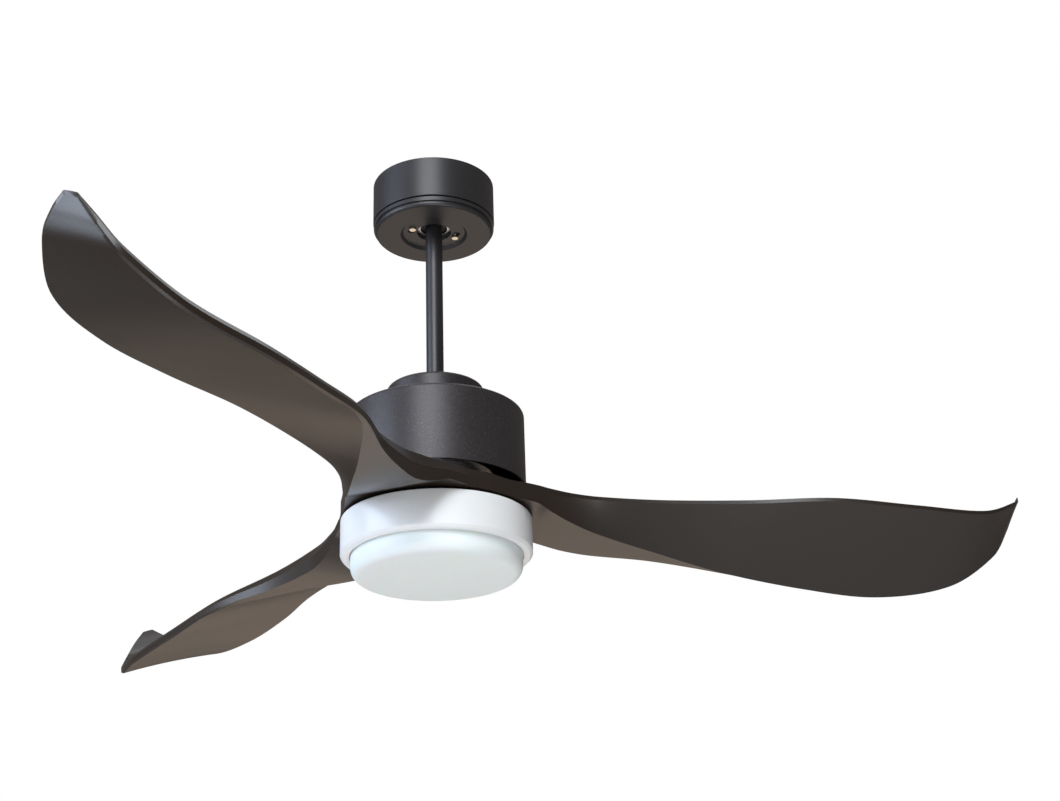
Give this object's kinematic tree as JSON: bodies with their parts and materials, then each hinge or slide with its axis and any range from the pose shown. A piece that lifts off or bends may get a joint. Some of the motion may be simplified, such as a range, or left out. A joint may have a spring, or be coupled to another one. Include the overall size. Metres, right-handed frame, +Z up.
{
  "type": "ceiling fan with light",
  "caption": "Ceiling fan on a short rod: round canopy, drum motor, three broad twisted blades that turn, and a round opal light below.",
  "frame": {"origin": "centre of the ceiling bracket's screw pattern, on its face against the ceiling", "axes": "+Z up along the fan's axis, +X towards the first blade less its 5 degree lead, -Y towards the viewer"},
  "size_m": [1.061, 1.1403, 0.47],
  "materials": {
    "canopy_coat": "satin",
    "housing_coat": "satin",
    "blade_plastic": "satin",
    "white_plastic": "satin",
    "opal_plastic": "frosted",
    "zinc_steel": "satin",
    "bearing_steel": "polished",
    "brass_screw": "polished",
    "black_nylon": "matte",
    "circuit_board": "satin",
    "board_parts": "satin",
    "lamination": "matte",
    "alloy": "satin",
    "copper_wire": "satin",
    "magnet": "matte",
    "led_board": "satin",
    "led_phosphor": "satin",
    "driver_case": "satin"
  },
  "bodies": {
    "bracket": {"ceiling_bracket": "zinc_steel", "canopy_screws": "brass_screw", "receiver_case": "black_nylon", "receiver_lid": "black_nylon", "receiver_board": "circuit_board", "receiver_relays": "board_parts", "terminal_block": "black_nylon"},
    "canopy": {"canopy_cup": "canopy_coat", "canopy_cap": "canopy_coat"},
    "ball_seat": {"ball_liner": "black_nylon"},
    "hanging": {"hanger_ball": "black_nylon", "ball_pin": "zinc_steel", "downrod": "canopy_coat", "yoke": "zinc_steel", "yoke_set_screws": "zinc_steel", "yoke_pin": "zinc_steel", "yoke_pin_clip": "zinc_steel", "coupling_cover": "housing_coat", "motor_housing": "housing_coat", "motor_top_plate": "housing_coat", "housing_screws": "zinc_steel", "controller_board": "circuit_board", "board_spacers": "zinc_steel", "controller_parts": "board_parts", "motor_shaft": "zinc_steel", "stator_hub": "alloy", "stator_core": "lamination", "stator_coils": "copper_wire", "bearing_inner_races": "bearing_steel", "bearing_balls": "bearing_steel", "light_plate": "zinc_steel", "light_screws": "zinc_steel", "shaft_nut": "zinc_steel", "light_ring": "white_plastic", "diffuser_retainer": "white_plastic", "led_tray": "alloy", "led_board": "led_board", "tray_standoffs": "zinc_steel", "led_chips": "led_phosphor", "led_driver": "driver_case"},
    "rotor": {"bearing_outer_races": "bearing_steel", "rotor_top_shell": "alloy", "rotor_bottom_shell": "alloy", "rotor_magnets": "magnet", "blade_carrier": "zinc_steel", "carrier_screws": "zinc_steel", "blade_1": "blade_plastic", "blade_2": "blade_plastic", "blade_3": "blade_plastic", "blade_screws": "zinc_steel"},
    "diffuser": {"diffuser": "opal_plastic"}
  },
  "joints": [
    {"name": "canopy_twist", "type": "hinge", "parent": "bracket", "child": "canopy", "pos_m": [0, 0, 0], "axis": [0, 0, 1], "range_deg": [0, 15]},
    {"name": "ball_sway_x", "type": "hinge", "parent": "bracket", "child": "ball_seat", "pos_m": [0, 0, -0.041], "axis": [1, 0, 0], "range_deg": [-5, 5]},
    {"name": "ball_sway_y", "type": "hinge", "parent": "ball_seat", "child": "hanging", "pos_m": [0, 0, -0.041], "axis": [0, 1, 0], "range_deg": [-5, 5]},
    {"name": "rotor_spin", "type": "hinge", "parent": "hanging", "child": "rotor", "pos_m": [0, 0, -0.3865], "axis": [0, 0, 1], "continuous": true},
    {"name": "diffuser_twist", "type": "hinge", "parent": "hanging", "child": "diffuser", "pos_m": [0, 0, -0.4485], "axis": [0, 0, 1], "range_deg": [0, 14]}
  ]
}
